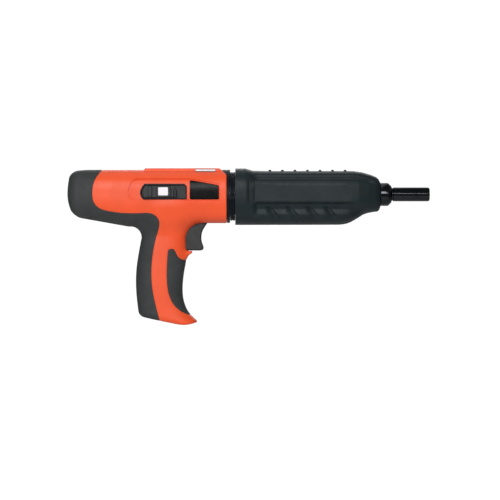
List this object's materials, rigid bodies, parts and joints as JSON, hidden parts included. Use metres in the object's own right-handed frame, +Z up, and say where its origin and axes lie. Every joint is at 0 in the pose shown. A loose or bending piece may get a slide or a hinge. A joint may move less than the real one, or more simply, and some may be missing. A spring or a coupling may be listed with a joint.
{
  "type": "powder-actuated nail gun",
  "caption": "Pistol-grip powder-actuated fastening tool with an orange and black moulded housing, ribbed black muffler and a spring-returned steel muzzle.",
  "frame": {"origin": "middle of the grip, on the tool's centre plane", "axes": "+X towards the muzzle and parallel to the bore, +Z up through the top rib, so +Y is the tool's left side"},
  "size_m": [0.4198, 0.0601, 0.1811],
  "materials": {
    "housing_orange": "satin moulded glass-filled nylon",
    "overmould_rubber": "fine-grained soft overmould",
    "black_plastic": "fine texture",
    "muffler_plastic": "satin moulded, bluish black",
    "label_film": "blank printed label film",
    "white_plastic": "smooth",
    "oxide_steel": "black oxide, polished",
    "steel": "turned and ground",
    "spring_steel": "drawn wire",
    "buffer_polymer": "cast polyurethane"
  },
  "bodies": {
    "housing": {"housing_right": "housing_orange", "housing_left": "housing_orange", "rear_cover": "overmould_rubber", "grip_insert": "overmould_rubber", "slide_track": "black_plastic", "label_plate": "label_film", "shoulder_plate": "steel", "strip_channel": "steel", "channel_mouth": "black_plastic", "receiver_tube": "steel", "guide_bush": "steel", "breech_block": "steel", "spring_plug": "steel", "firing_pin_spring": "spring_steel", "rear_cover_screw": "oxide_steel", "barrel_return_spring": "spring_steel", "front_collar": "muffler_plastic", "lock_ring": "muffler_plastic", "muffler_sleeve": "steel", "muffler_shell": "muffler_plastic", "trigger_pin": "steel", "trigger_spring": "spring_steel", "sear_pin": "steel", "sear_spring": "spring_steel", "lever_pin": "steel", "housing_screw_front": "oxide_steel", "housing_screw_neck": "oxide_steel", "housing_screw_foot": "oxide_steel"},
    "barrel": {"barrel": "steel", "buffer_ring": "buffer_polymer", "muzzle_tube": "oxide_steel", "muzzle_nut": "oxide_steel"},
    "piston": {"piston": "steel", "piston_ring": "steel"},
    "firing_pin": {"firing_pin": "steel"},
    "trigger": {"trigger": "black_plastic"},
    "trigger_bar": {"trigger_bar": "steel"},
    "sear": {"sear": "steel"},
    "power_slide": {"power_slide": "black_plastic", "slide_indicator": "white_plastic"},
    "advance_lever": {"advance_lever": "steel"}
  },
  "joints": [
    {"name": "muzzle_press", "type": "slide", "parent": "housing", "child": "barrel", "axis": [-1, 0, 0], "range_m": [0, 0.012], "stiffness_N_per_m": 4000, "springref_m": -0.004, "deforming": ["barrel_return_spring"]},
    {"name": "piston_stroke", "type": "slide", "parent": "barrel", "child": "piston", "axis": [1, 0, 0], "range_m": [0, 0.075]},
    {"name": "firing_pin_cock", "type": "slide", "parent": "housing", "child": "firing_pin", "axis": [-1, 0, 0], "range_m": [0, 0.008], "stiffness_N_per_m": 2500, "springref_m": -0.004, "deforming": ["firing_pin_spring"]},
    {"name": "trigger_pull", "type": "hinge", "parent": "housing", "child": "trigger", "pos_m": [0.041, 0, 0.07116], "axis": [0, 1, 0], "range_deg": [0, 10], "stiffness_Nm_per_rad": 1.2, "springref_deg": -5.73, "deforming": ["trigger_spring"]},
    {"name": "trigger_bar_slide", "type": "slide", "parent": "housing", "child": "trigger_bar", "axis": [-1, 0, 0], "range_m": [0, 0.0008]},
    {"name": "sear_turn", "type": "hinge", "parent": "housing", "child": "sear", "pos_m": [-0.0335, 0, 0.07126], "axis": [0, 1, 0], "range_deg": [0, 10], "deforming": ["sear_spring"]},
    {"name": "power_slide_travel", "type": "slide", "parent": "housing", "child": "power_slide", "axis": [1, 0, 0], "range_m": [0, 0.0105]},
    {"name": "advance_lever_swing", "type": "hinge", "parent": "housing", "child": "advance_lever", "pos_m": [0.0195, 0, 0.06366], "axis": [0, 1, 0], "range_deg": [0, 12]}
  ],
  "couplings": [
    {"joint": "trigger_bar_slide", "follows": "trigger_pull", "m_per_rad": 0.0043},
    {"joint": "sear_turn", "follows": "trigger_pull", "ratio": 1},
    {"joint": "advance_lever_swing", "follows": "muzzle_press", "rad_per_m": 17.4}
  ]
}
